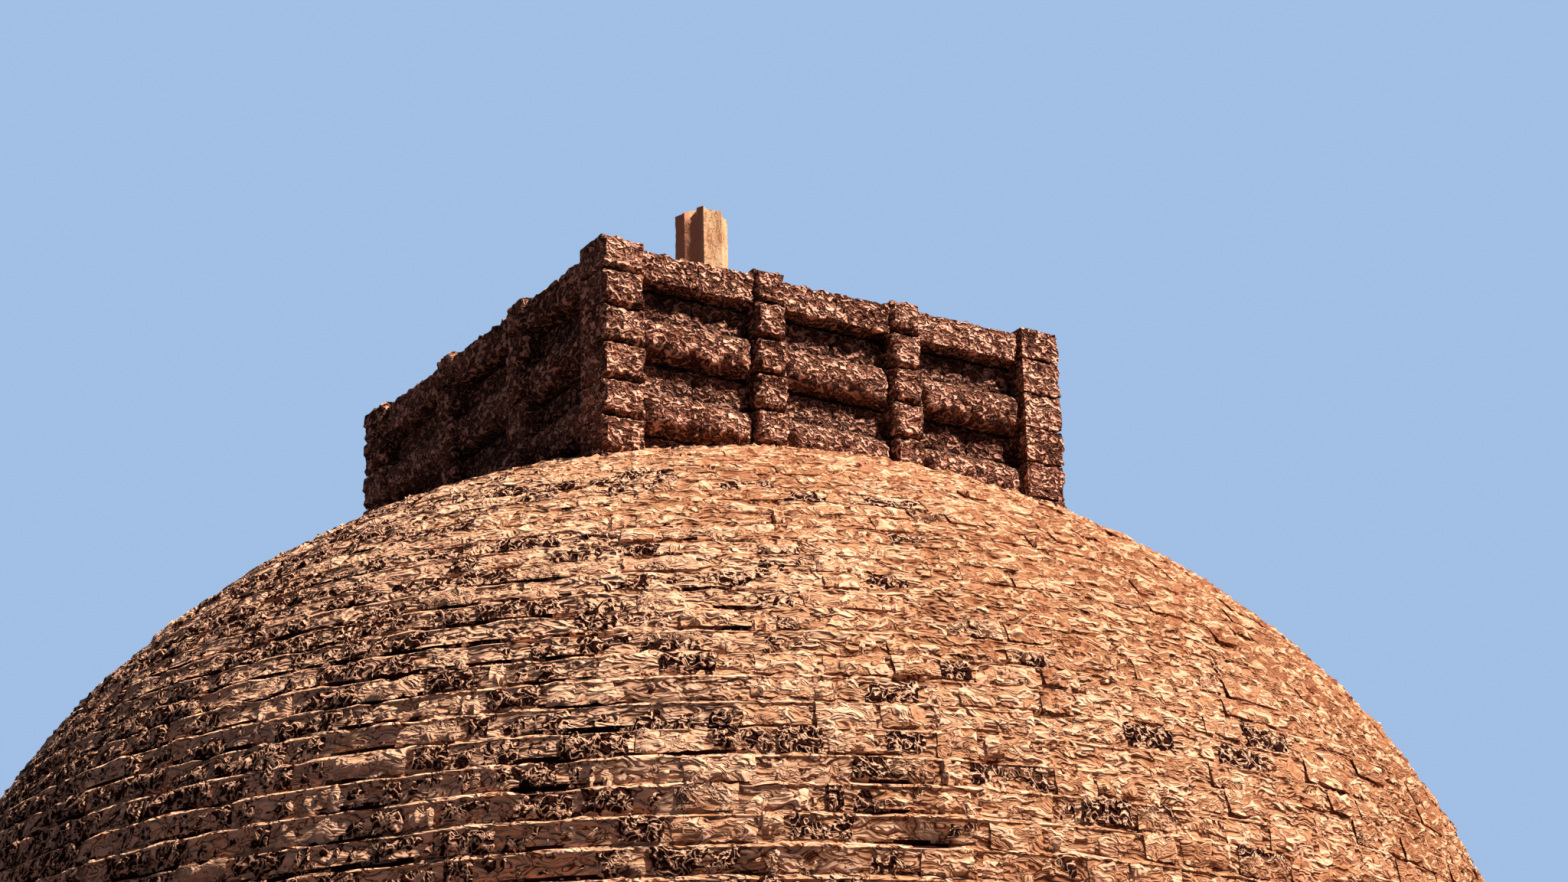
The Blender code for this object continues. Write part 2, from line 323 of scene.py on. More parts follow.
def darkness(tree, place):
    """The weathering of a place: low on the right and high up, and cloudy."""
    parts = axes(tree, place)
    above = node(tree, "ShaderNodeCombineXYZ", {0: parts[0], 1: parts[1],
                                                2: maths(tree, "MAXIMUM", parts[2], FADE_FOOT)}).outputs[0]
    side = node(tree, "ShaderNodeVectorMath", {0: above, 1: FADE}, operation="DOT_PRODUCT").outputs["Value"]
    cloud = grain(tree, along_courses(tree, place, 2.0), 0.45, 3, 0.6, 0.3)
    return maths(tree, "MULTIPLY_ADD", cloud, CLOUDS, maths(tree, "ADD", side, FADE_START))


def make_dome_stone():
    """Pale stone with brown cracks. Stones black with weathering have winding pale ridges instead."""
    material, tree, place = start("dome_stone")
    tone = own_tone(tree)
    level = grain(tree, along_courses(tree, place, 1.8), 8, 2, 0.5, 1.0)
    steep = grain(tree, place, 17, 2, 0.5, 0.9)
    shaded_crack = near_middle(tree, level, 0.006, 0.045)
    ridge = near_middle(tree, steep, 0.075, 0.02)
    likely = darkness(tree, place)
    covered = span(tree, maths(tree, "ADD", tone, likely), 1.0, 1.12)
    own = maths(tree, "FRACT", maths(tree, "MULTIPLY", tone, 7.0))
    shade = maths(tree, "MULTIPLY_ADD", own, 0.2, maths(tree, "MULTIPLY_ADD", level, 2.6, -1.03))
    # Painted light: pale stone is made paler where the weathering field is high, on the left and low down,
    # where the light grazes.
    shade = maths(tree, "MULTIPLY_ADD", span(tree, likely, -0.1, 0.8), 0.7, shade)
    pale = ramp(tree, shade, (0.0, srgb(120, 68, 42)), (0.45, srgb(194, 137, 99)),
                (1.0, srgb(228, 177, 142)))
    red = span(tree, grain(tree, place, 0.9, 4, 0.6, 0.5), 0.5, 0.7)
    pale = mix(tree, maths(tree, "MULTIPLY", red, 0.35), pale, srgb(176, 108, 74))
    # Painted shade, in part: the cracks are painted dark brown where the relief's shadow lines fall, as well
    # as being cracks.
    pale = mix(tree, maths(tree, "MULTIPLY_ADD", shaded_crack, 0.55, 0.45), srgb(84, 34, 12), pale)
    dark = mix(tree, ridge, srgb(40, 11, 4), srgb(230, 174, 140))
    colour = mix(tree, covered, pale, dark)
    height = blend(tree, covered, maths(tree, "MULTIPLY_ADD", shaded_crack, 0.12, level),
                   maths(tree, "MULTIPLY_ADD", ridge, 0.16, steep))
    height = maths(tree, "MULTIPLY_ADD", grain(tree, place, 7, 2, 0.5), 0.5, height)
    finish(tree, colour, height, 0.15, strength=blend(tree, covered, 0.65, 1.0))
    return material


def make_mortar():
    """Pale mortar, black where the tone of a face is high, which is in the open slots: partly grime, partly
    painted shade.
    """
    material, tree, place = start("mortar")
    tone = own_tone(tree)
    streaks = grain(tree, along_courses(tree, place, 1.9), 8, 2, 0.5, 0.9)
    shade = maths(tree, "MULTIPLY_ADD", streaks, 2.6, -0.95)
    # Painted light: mortar is made paler where the weathering field is high, on the left and low down, where
    # the light grazes.
    shade = maths(tree, "MULTIPLY_ADD", span(tree, darkness(tree, place), -0.1, 0.9), 0.65, shade)
    colour = ramp(tree, shade, (0.0, srgb(126, 74, 46)), (0.4, srgb(194, 138, 100)),
                  (1.0, srgb(230, 179, 144)))
    # Painted shade, in part: thin brown cracks in the mortar stand partly for shadow lines in its relief.
    colour = mix(tree, near_middle(tree, streaks, 0.004, 0.04), srgb(96, 46, 22), colour)
    # Open slots are painted black: partly grime, partly painted shade in the slot under each course.
    grime_and_slot_shade = span(tree, tone, 0.0, 0.5)
    colour = mix(tree, grime_and_slot_shade, colour, srgb(42, 15, 8))
    finish(tree, colour, streaks, 0.12)
    return material


dome_stone = make_dome_stone()
mortar = make_mortar()
print("dome finishes ready")

# %% [markdown]
# ## Laterite
# The block is laterite, a dark reddish-brown stone full of holes. Its relief is winding lumps two or three
# centimetres across with deep pits between them, painted nearly black, partly their own dark and partly
# painted shade. It is painted darker in the recesses behind the posts, partly dirt and partly painted shade,
# and paler on faces that turn up, partly dust on top and partly painted light.

# %% Laterite
PANEL_HALF = BLOCK_HALF - 0.11  # how far the panels are from the middle, behind the face of the posts


def make_laterite(name, dim=1.0, recess_shade=0.45):
    """Pitted laterite, darker by the share recess_shade behind the face of the posts: partly dirt, partly
    painted shade.
    """
    material, tree, place = start(name)
    level = node(tree, "ShaderNodeMapping", {"Vector": place, "Scale": (1, 1, 1.25)}).outputs["Vector"]
    tone = own_tone(tree)
    patches = grain(tree, level, 6, 3, 0.6, 0.4)
    worms = grain(tree, level, 20, 1, 0.5, 0.7)
    shaded_crack = near_middle(tree, worms, 0.012, 0.055)
    shade = maths(tree, "MULTIPLY_ADD", worms, 2.1, maths(tree, "MULTIPLY_ADD", patches, 1.2, -1.2))
    shade = maths(tree, "MULTIPLY_ADD", tone, 0.2, shade)
    colour = ramp(tree, shade, (0.0, srgb(70 * dim, 37 * dim, 28 * dim)),
                  (0.42, srgb(158 * dim, 101 * dim, 79 * dim)), (0.8, srgb(244 * dim, 178 * dim, 148 * dim)))
    # The pits are painted nearly black: partly the stone's own dark holes, partly painted shade in them.
    colour = mix(tree, maths(tree, "MULTIPLY_ADD", shaded_crack, 0.92, 0.08), srgb(18, 5, 3), colour)
    # Faces that turn up are painted paler: partly dust, partly painted light on the tops.
    facing = axes(tree, node(tree, "ShaderNodeNewGeometry").outputs["Normal"])
    dust_and_top_light = maths(tree, "MULTIPLY", span(tree, facing[2], 0.4, 0.95), 0.4 * dim)
    colour = mix(tree, dust_and_top_light, colour, srgb(186, 134, 100))
    # Painted shade, in part: the deeper a place lies behind the face of the posts, the darker it is painted,
    # as dirt and as shade.
    parts = axes(tree, place)
    outer = maths(tree, "MAXIMUM", maths(tree, "ABSOLUTE", parts[0]), maths(tree, "ABSOLUTE", parts[1]))
    deep = span(tree, outer, BLOCK_HALF - 0.035, PANEL_HALF)
    colour = mix(tree, maths(tree, "MULTIPLY", deep, recess_shade), colour, srgb(26, 9, 6))
    height = maths(tree, "MULTIPLY_ADD", patches, 0.5, maths(tree, "MULTIPLY_ADD", shaded_crack, 0.14, worms))
    finish(tree, colour, height, 0.24)
    return material


laterite = make_laterite("laterite")
print("laterite ready")

# %% [markdown]
# ## One rough stone and its copies
# A squared stone is a grid stood on edge. Its rim is pushed back like a pillow's, then extruded into
# the wall and closed, and its face is broken by Displace modifiers. A few kinds of each are made,
# each with other noise, and every stone is a copy of one of them, scaled a little to its place.

# %% Rough stones
kinds = []  # every kind of stone, to be removed when all copies are laid


def select_only(*objects):
    """Select these objects and nothing else, the first one active."""
    bpy.ops.object.select_all(action="DESELECT")
    for item in objects:
        item.select_set(True)
    bpy.context.view_layer.objects.active = objects[0]


def pick(test):
    """In edit mode, select the vertices whose place passes a test."""
    mesh = bmesh.from_edit_mesh(bpy.context.object.data)
    for vertex in mesh.verts:
        vertex.select_set(test(vertex.co))
    mesh.select_flush_mode()
    bmesh.update_edit_mesh(bpy.context.object.data)


def break_face(made, name, seed, *layers):
    """Break the vertices in the group called face with cloud noise, one (scale, strength) at a time."""
    mark = bpy.data.objects.new("noise_mark", None)
    bpy.context.scene.collection.objects.link(mark)
    mark.location = (seed * 3.7, seed * 1.9, -seed * 2.3)
    bpy.context.view_layer.update()
    for number, (scale, strength) in enumerate(layers):
        texture = bpy.data.textures.new(f"{name}_{number}", "CLOUDS")
        texture.noise_scale = scale
        texture.noise_depth = 2
        texture.contrast = 1.6
        broken = made.modifiers.new("broken", "DISPLACE")
        broken.texture = texture
        broken.texture_coords = "OBJECT"
        broken.texture_coords_object = mark
        broken.strength = strength
        broken.vertex_group = "face"
        bpy.ops.object.modifier_apply(modifier="broken")
    bpy.data.objects.remove(mark, do_unlink=True)
    made.vertex_groups.clear()


def rough_stone(name, size, cells, material, seed, coarse, fine, edge=0.02, rows=1, bulge=None, blunt=False):
    """A block that faces -Y. size is its length, depth and height, and cells is its face's grid. edge
    pushes its rim back, rows parts its depth, bulge pushes its face out and blunt rounds one end."""
    length, depth, tall = size
    bpy.ops.object.select_all(action="DESELECT")
    bpy.ops.mesh.primitive_grid_add(x_subdivisions=cells[0], y_subdivisions=cells[1], size=1)
    made = bpy.context.object
    made.name = name
    made.scale = (length, tall, 1)
    made.rotation_euler = (math.pi / 2, 0, 0)
    bpy.ops.object.transform_apply(location=True, rotation=True, scale=True)
    bpy.ops.object.mode_set(mode="EDIT")
    bpy.ops.mesh.select_mode(type="VERT")
    if bulge:
        for row in range(1, cells[1]):
            level = (row / cells[1] - 0.5) * tall
            pick(lambda co: abs(co.z - level) < 0.001)
            bpy.ops.transform.translate(value=(0, -bulge(2 * level / tall), 0))
    if blunt:
        for column, share in ((0, 0.9), (1, 0.45), (2, 0.15)):
            level = (0.5 - column / cells[0]) * length
            pick(lambda co: abs(co.x - level) < 0.001)
            bpy.ops.transform.resize(value=(1, 1 - share, 1), center_override=(0, 0, 0))
    pick(lambda co: abs(co.x) > length / 2 - 0.001 or abs(co.z) > tall / 2 - 0.001)
    bpy.ops.transform.translate(value=(0, edge, 0))
    bpy.ops.mesh.select_mode(type="EDGE")
    bpy.ops.mesh.select_all(action="DESELECT")
    bpy.ops.mesh.select_non_manifold()
    for row in range(rows):
        bpy.ops.mesh.extrude_edges_move(TRANSFORM_OT_translate={"value": (0, depth / rows, 0)})
    if rows == 1:
        bpy.ops.mesh.merge(type="CENTER")
    else:
        bpy.ops.mesh.edge_face_add()
    bpy.ops.mesh.select_all(action="SELECT")
    bpy.ops.mesh.normals_make_consistent(inside=False)
    bpy.ops.object.mode_set(mode="OBJECT")
    made.vertex_groups.new(name="face").add([v.index for v in made.data.vertices if v.co.y < depth * 0.9],
                                            1.0, "REPLACE")
    break_face(made, name, seed, coarse, fine)
    tone = made.data.attributes.new("tone", "FLOAT", "FACE")
    tone.data.foreach_set("value", [0.5] * len(made.data.polygons))
    made.data.materials.append(material)
    made["size"] = size
    kinds.append(made)
    return made


stones = [rough_stone(f"stone_{k}", (0.39, 0.10, 0.145), (8, 4), dome_stone, k + 1, edge=0.012,
                      coarse=(0.10, 0.042), fine=(0.035, 0.030)) for k in range(8)]
print("stone kinds:", len(stones), "faces each:", len(stones[0].data.polygons))

# %% [markdown]
# ## Laying a course
# A course is a ring of stones set side by side. Where one ends and the next begins is thrown a
# little off the even spacing, each stone sits a little in or out, and half of them are turned upside
# down, so the eight kinds don't show.

# %% Lay a course


def place_copy(kind, matrix, tone):
    """Copy a stone, with its own mesh, to a place, and give it its tone."""
    piece = kind.copy()
    piece.data = kind.data.copy()
    piece.matrix_world = matrix
    piece.data.attributes["tone"].data.foreach_set("value", [tone] * len(piece.data.polygons))
    bpy.context.scene.collection.objects.link(piece)
    return piece


def lay_course(choice, foot, head, length, joint=0.04, push=0.014, uneven=0.34, turnable=True):
    """Set stones round one course from its foot to its head, each given as (radius, height)."""
    (r0, z0), (r1, z1) = foot, head
    slope = math.atan2(r0 - r1, z1 - z0)
    tall = math.hypot(r0 - r1, z1 - z0)
    radius, level = (r0 + r1) / 2, (z0 + z1) / 2
    count = round(2 * math.pi * radius / length)
    first = dice.random()
    ends = [(first + k + dice.uniform(-uneven, uneven)) * 2 * math.pi / count for k in range(count)]
    laid = []
    for a, b in zip(ends, ends[1:] + [ends[0] + 2 * math.pi]):
        kind = dice.choice(choice)
        long, _, high = kind["size"]
        wide = 2 * radius * math.sin((b - a) / 2) - joint * dice.uniform(0.5, 1.6)
        angle, out = (a + b) / 2, dice.uniform(-push, push)
        half_turn = dice.choice((0, math.pi)) if turnable else 0
        turn = (Matrix.Rotation(angle + math.pi / 2, 4, "Z")
                @ Matrix.Rotation(-slope + dice.uniform(-0.06, 0.06) * (push > 0), 4, "X")
                @ Matrix.Rotation(half_turn + dice.uniform(-1.6, 1.6) * push, 4, "Y"))
        spot = Vector(((radius + out) * math.cos(angle), (radius + out) * math.sin(angle),
                       level + dice.uniform(-0.9, 0.7) * push))
        size = Matrix.Diagonal((wide / long, 1, tall * (1 + push * dice.uniform(-9, 12)) / high, 1))
        laid.append(place_copy(kind, Matrix.Translation(spot) @ turn @ size, dice.random()))
    return laid


def join(name, pieces):
    """Join pieces into one, with its place in its mesh."""
    select_only(*pieces)
    bpy.ops.object.join()
    joined = bpy.context.object
    bpy.ops.object.transform_apply(location=True, rotation=True, scale=True)
    joined.name = name
    joined.data.name = name
    return joined


def keep(piece, slot, *nodes, angle=50):
    """Shade a finished piece, hang it on the root, and hide the plain solids that it stands for. slot is not
    used.
    """
    select_only(piece)
    bpy.ops.object.shade_smooth_by_angle(angle=math.radians(angle))
    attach(piece, "root")
    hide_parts(*nodes)
    piece.data.calc_loop_triangles()
    print(f"{piece.name}: {len(piece.data.loop_triangles)} triangles")


print("course helpers ready")

# %% [markdown]
# ## The mortar bed
# The stones are bedded in mortar, which shows between them, as a sloping ledge along the top of each
# course, and as a shadowed slot under the next. One saw-toothed outline is drawn point by point up
# the dome, and spun round the axis. A Displace modifier then makes the ledges wander. The slots stay
# open on the dark side, and are filled with mortar by degrees towards the sunny one.

# %% Turn a bed
LEDGE_SHARE = 0.16  # the part of a course's height that lies open as its ledge
LEAST_TILT, MOST_TILT = math.radians(9), math.radians(28)  # how far a ledge slopes
SLOT_DEPTH = 0.030


def turned(name, outline, steps, material, wander):
    """Spin an outline of (radius, height) points, from the foot up, into a closed round piece."""
    bpy.ops.object.select_all(action="DESELECT")
    bpy.ops.mesh.primitive_plane_add(size=0.01)
    made = bpy.context.object
    made.name = name
    bpy.ops.object.mode_set(mode="EDIT")
    bpy.ops.mesh.select_mode(type="VERT")
    bpy.ops.mesh.select_all(action="SELECT")
    bpy.ops.mesh.merge(type="CENTER")
    bpy.ops.transform.translate(value=(outline[0][0], 0, outline[0][1]))
    for (r0, z0), (r1, z1) in zip(outline, outline[1:]):
        bpy.ops.mesh.extrude_region_move(TRANSFORM_OT_translate={"value": (r1 - r0, 0, z1 - z0)})
    bpy.ops.mesh.select_all(action="SELECT")
    bpy.ops.mesh.spin(steps=steps, angle=2 * math.pi, center=(0, 0, 0), axis=(0, 0, 1))
    bpy.ops.mesh.select_all(action="SELECT")
    bpy.ops.mesh.remove_doubles(threshold=0.0005)
    bpy.ops.mesh.normals_make_consistent(inside=False)
    bpy.ops.object.mode_set(mode="OBJECT")
    if wander:
        made.vertex_groups.new(name="face").add([v.index for v in made.data.vertices if v.co.xy.length > 0.5],
                                                1.0, "REPLACE")
        break_face(made, name, 9, (0.5, wander), (0.12, wander))
    made.data.materials.append(material)
    return made


def in_slot(rows, place, deep):
    """Whether a place on the bed is deep in the slot at the foot of a course."""
    foot, _, _, up, out = rows[max(0, bisect.bisect([row[0][1] for row in rows], place.z + 0.02) - 1)]
    across, rise = place.xy.length - foot[0], place.z - foot[1]
    return across * out[0] + rise * out[1] < -deep and across * up[0] + rise * up[1] < 0.020


def slot_fill(co):
    """How much a slot is filled with mortar, by its place: 0 or less is open and 1 or more is full."""
    return 1.05 + 1.7 * noise.noise(co * 1.5) + 1.25 * (co.x - 0.6 * co.y) / max(1.0, co.xy.length)


def mark_slots(bed, rows):
    """Fill the slots by degrees, least on the dark side, and give each face the darkness of its slot, partly
    grime and partly painted shade.
    """
    select_only(bed)
    bpy.ops.object.mode_set(mode="EDIT")
    for share in (0.1, 0.3, 0.5, 0.7):
        pick(lambda co: in_slot(rows, co, 0.002) and slot_fill(co) > share)
        bpy.ops.transform.resize(value=(1.0011, 1.0011, 1.0011), center_override=(0, 0, SPRINGING))
    bpy.ops.object.mode_set(mode="OBJECT")
    tones = [in_slot(rows, face.center, 0.004) * min(1.0, max(0.2, 1 - slot_fill(face.center)))
             for face in bed.data.polygons]
    bed.data.attributes.new("tone", "FLOAT", "FACE").data.foreach_set("value", tones)
    print("faces in slots:", len([t for t in tones if t]), "of", len(tones))


def teeth(points):
    """For each course of a (radius, height) curve: the foot and head of its face, and its ledge's end."""
    made = []
    for (r0, z0), (r1, z1) in zip(points, points[1:]):
        tall = math.hypot(r1 - r0, z1 - z0)
        climb = math.atan2(z1 - z0, r0 - r1)
        upright = min(1.0, (math.pi / 2 - climb) / math.radians(10))
        back = upright * min(MOST_TILT, max(LEAST_TILT, climb - math.radians(45)))
        ledge = LEDGE_SHARE * tall
        lean = math.atan2(ledge * math.sin(back), tall - ledge * math.cos(back))
        face = math.hypot(tall - ledge * math.cos(back), ledge * math.sin(back))
        inward = ledge * math.sin(back) * 0.6
        normal = (math.sin(climb), math.cos(climb))
        foot = (r0 - normal[0] * inward, z0 - normal[1] * inward)
        up = (-math.cos(climb + lean), math.sin(climb + lean))
        head = (foot[0] + up[0] * face, foot[1] + up[1] * face)
        end = (r1 - normal[0] * inward, z1 - normal[1] * inward)
        made.append((foot, head, end, up, (up[1], -up[0])))
    return made


def bed_outline(rows):
    """The bed's outline up a wall: for each course a slot, the mortar behind the stones, and a lip."""
    outline = []
    for foot, head, _, up, out in rows:
        for base, climb, rise in ((foot, 0.0, -SLOT_DEPTH), (foot, 0.012, -SLOT_DEPTH), (foot, 0.024, -0.003),
                                  (head, -0.016, 0.0), (head, -0.008, 0.007), (head, 0.002, 0.003)):
            outline.append((base[0] + up[0] * climb + out[0] * rise, base[1] + up[1] * climb + out[1] * rise))
    return outline


dome_rows = teeth(dome_curve)
dome_outline = [(0.0, SPRINGING + 0.0005), (DOME_R - 0.06, SPRINGING + 0.0005)]
dome_outline += bed_outline(dome_rows) + [dome_rows[-1][2], (0.0, dome_rows[-1][2][1])]
dome_bed = turned("dome_bed", dome_outline, 320, mortar, 0.03)
mark_slots(dome_bed, dome_rows)
keep(dome_bed, "dome_stone", "dome")

# %% [markdown]
# ## The dome's stones
# Each course is laid a few millimetres in front of its mortar, from just above its slot to just under
# its lip. The lower and the upper courses are joined into one piece each.

# %% Lay the dome's stones
STONE_LENGTH, STONE_JOINT = 0.32, 0.036
LOW_COURSES = 12
rings = []
for foot, head, _, up, out in dome_rows:
    low = (foot[0] + up[0] * 0.012 + out[0] * 0.006, foot[1] + up[1] * 0.012 + out[1] * 0.006)
    high = (head[0] - up[0] * 0.006 + out[0] * 0.007, head[1] - up[1] * 0.006 + out[1] * 0.007)
    rings.append(lay_course(stones, low, high, STONE_LENGTH, joint=STONE_JOINT))
keep(join("dome_stones_low", [s for ring in rings[:LOW_COURSES] for s in ring]), "dome_stone", "dome")
keep(join("dome_stones_high", [s for ring in rings[LOW_COURSES:] for s in ring]), "dome_stone", "dome")

# %% [markdown]
# ## The square block
# Each side of the block has a railing carved on it: a corner post at each end, two posts between
# them, a cap along the top and two rails that bulge like a lens. All of it is built in courses of
# laterite blocks, so each post is a stack of blocks with dark joints. Here the kinds of block are made.

# %% Kinds of laterite block
COURSE = 0.25  # the height of a course of laterite
MIDDLE_POST = 0.225
BAY = 0.83  # the width between two posts


def lens(z):
    """A rail's bulge: a lens with a small step at its edges, 0.08 m proud along its middle."""
    return 0.018 + 0.062 * (1 - abs(z) ** 2.2)


def cap_round(z):
    """A cap's bulge, nearly flat, with narrow edges."""
    return 0.07 * (1 - abs(z) ** 16)


rough = {"coarse": (0.10, 0.022), "fine": (0.035, 0.020), "material": laterite}
corner_blocks = [rough_stone(f"corner_block_{k}", (CORNER_POST, CORNER_POST - 0.02, COURSE), (14, 11),
                             seed=20 + k, rows=12, edge=0.028, **rough) for k in range(5)]
post_blocks = [rough_stone(f"post_block_{k}", (MIDDLE_POST, 0.20, COURSE), (10, 11), seed=30 + k, rows=6,
                           edge=0.026, **rough) for k in range(5)]
cap_blocks = [rough_stone(f"cap_block_{k}", (0.415, 0.24, 0.255), (18, 12), seed=40 + k, rows=6,
                          edge=0.006, bulge=cap_round, **rough) for k in range(4)]
rail_blocks = [rough_stone(f"rail_block_{k}", (0.415, 0.08, 0.27), (18, 12), seed=50 + k, rows=2,
                           edge=0.0, bulge=lens, blunt=True, **rough) for k in range(4)]
panel_blocks = [rough_stone(f"panel_block_{k}", (0.415, 0.08, 0.23), (14, 8), seed=60 + k,
                            edge=0.012, **rough) for k in range(5)]
print("laterite kinds:", len(kinds) - len(stones))

# %% [markdown]
# ## The four sides
# Each side is set as if it were the front, and turned to its place by quarter turns. Posts are stacked
# from the top down until a block would start well inside the dome. All heights are measured down from
# the post tops.

# %% Set the blocks
SIDES = {"front": 0, "right": 90, "back": 180, "left": 270}
JOINTS = [0.0, 0.23, 0.48, 0.73, 0.98, 1.23, 1.48, 1.73]  # where the blocks of a post meet
SUNK = 0.12  # how deep a block may start in the dome
POST_JOINT = 0.018
# For each piece of the railing: its kinds of block, how far down its middle is, and its block's size
RAILING = {"cap": (cap_blocks, 0.149, (0.412, 0.236)), "upper_rail": (rail_blocks, 0.625, (0.415, 0.268)),
           "lower_rail": (rail_blocks, 1.125, (0.415, 0.268))}
PANEL_MIDDLES, PANEL_SIZE = (0.390, 0.887, 1.382), (0.413, 0.198)


def block_at(choice, side, x, out, z, size, flip=0):
    """Set a block on a side: x along it, out from the middle, z its centre, size in metres."""
    kind = dice.choice(choice)
    long, _, high = kind["size"]
    local = (Matrix.Translation((x, -out, z)) @ Matrix.Rotation(flip + dice.uniform(-0.006, 0.006), 4, "Y")
             @ Matrix.Diagonal((size[0] / long, 1, size[1] / high, 1)))
    return place_copy(kind, Matrix.Rotation(math.radians(SIDES[side]), 4, "Z") @ local, dice.random())


def stack_at(choice, side, x, width):
    """Stack blocks from the post tops down until they are sunk in the dome."""
    stack = []
    for top, foot in zip(JOINTS, JOINTS[1:]):
        if POST_TOP - top < dome_level(math.hypot(x, BLOCK_HALF)) - SUNK:
            break
        stack.append(block_at(choice, side, x, BLOCK_HALF - 0.008 + dice.uniform(-0.005, 0.003),
                              POST_TOP - (top + foot) / 2, (width, foot - top - POST_JOINT)))
    return stack


for number, (side, turn) in enumerate(SIDES.items()):
    corner = ("front_left", "front_right", "back_right", "back_left")[number]
    corner_stack = stack_at(corner_blocks, side, -BLOCK_HALF + CORNER_POST / 2, CORNER_POST)
    keep(join(f"{corner}_corner_blocks", corner_stack), "laterite", f"{corner}_corner_post")
    for name in ("post_left", "post_right"):
        low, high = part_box(f"{side}_{name}")
        middle = Matrix.Rotation(-math.radians(turn), 4, "Z") @ ((Vector(low) + Vector(high)) / 2)
        keep(join(f"{side}_{name}_blocks", stack_at(post_blocks, side, middle.x, MIDDLE_POST)),
             "laterite", f"{side}_{name}")
    laid = {name: [] for name in (*RAILING, "panel")}
    for bay in (-(BAY + MIDDLE_POST), 0.0, BAY + MIDDLE_POST):
        for half in (-1, 1):
            x = bay + half * BAY / 4
            for name, (choice, drop, size) in RAILING.items():
                over = math.pi if half < 0 and name != "cap" else 0
                laid[name].append(block_at(choice, side, x, PANEL_HALF, POST_TOP - drop, size, over))
            for drop in PANEL_MIDDLES:
                if POST_TOP - drop + 0.11 > dome_level(math.hypot(x, PANEL_HALF)) - SUNK:
                    laid["panel"].append(block_at(panel_blocks, side, x, PANEL_HALF - 0.026, POST_TOP - drop,
                                                  PANEL_SIZE))
    for name in RAILING:
        keep(join(f"{side}_{name}_blocks", laid[name]), "laterite", f"{side}_{name}")
    keep(join(f"{side}_panel_blocks", laid["panel"]), "laterite", "block_core")

# %% [markdown]
# ## The block's middle
# Behind the blocks is the solid masonry, a plain bed that shows in the joints. The flat top is paved
# with darker blocks, each row shifted by half a block, with a gap left for the shaft.

# %% The block's middle
core_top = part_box("block_core")[1][2]
core_foot = dome_level(math.hypot(PANEL_HALF, PANEL_HALF)) - 0.1
bpy.ops.object.select_all(action="DESELECT")
bpy.ops.mesh.primitive_cube_add(size=1, location=(0, 0, (core_top - 0.03 + core_foot) / 2))
block_bed = bpy.context.object
block_bed.name = "block_bed"
block_bed.scale = (2 * PANEL_HALF - 0.11, 2 * PANEL_HALF - 0.11, core_top - 0.03 - core_foot)
bpy.ops.object.transform_apply(location=True, rotation=True, scale=True)
bpy.ops.object.mode_set(mode="EDIT")
bpy.ops.mesh.select_all(action="SELECT")
bpy.ops.mesh.bevel(offset=0.02, segments=1)
bpy.ops.mesh.subdivide(number_cuts=12)
bpy.ops.object.mode_set(mode="OBJECT")
block_bed.data.materials.append(make_laterite("laterite_mortar", 0.6))
keep(block_bed, "laterite", "block_core")

laterite_top = make_laterite("laterite_top", 0.6, recess_shade=0.0)
TOP_SIZE = (0.40, 0.08, 0.29)
top_blocks = [rough_stone(f"top_block_{k}", TOP_SIZE, (8, 6), seed=80 + k,
                          edge=0.012, coarse=(0.09, 0.02), fine=(0.035, 0.012), material=laterite_top)
              for k in range(5)]
INNER = BLOCK_HALF - CORNER_POST
PAVED_ROWS, PAVED_COLUMNS, SHAFT_GAP = 10, 8, 0.16
paving = []
for row in range(PAVED_ROWS):
    for column in range(PAVED_COLUMNS):
        x = (column + 0.25 + 0.5 * (row % 2)) / PAVED_COLUMNS * 2 * INNER - INNER
        y = (row + 0.5) / PAVED_ROWS * 2 * INNER - INNER
        if math.hypot(x, y) < SHAFT_GAP:
            continue
        matrix = (Matrix.Translation((x, y, core_top - 0.012)) @ Matrix.Rotation(-math.pi / 2, 4, "X")
                  @ Matrix.Diagonal((0.36 / TOP_SIZE[0], 1, 0.285 / TOP_SIZE[2], 1)))
        paving.append(place_copy(dice.choice(top_blocks), matrix, dice.random()))
keep(join("block_top_paving", paving), "laterite", "block_core")

# %% [markdown]
# ## The shaft
# The stub of the shaft is pale sandstone with upright grain and a few pits. Its side away from the sun is
# painted darker and redder, as painted shade, which leaves out the chip and the broken top.

# %% Sandstone
SIDE_SHADE_TOP = POST_TOP + 1.11


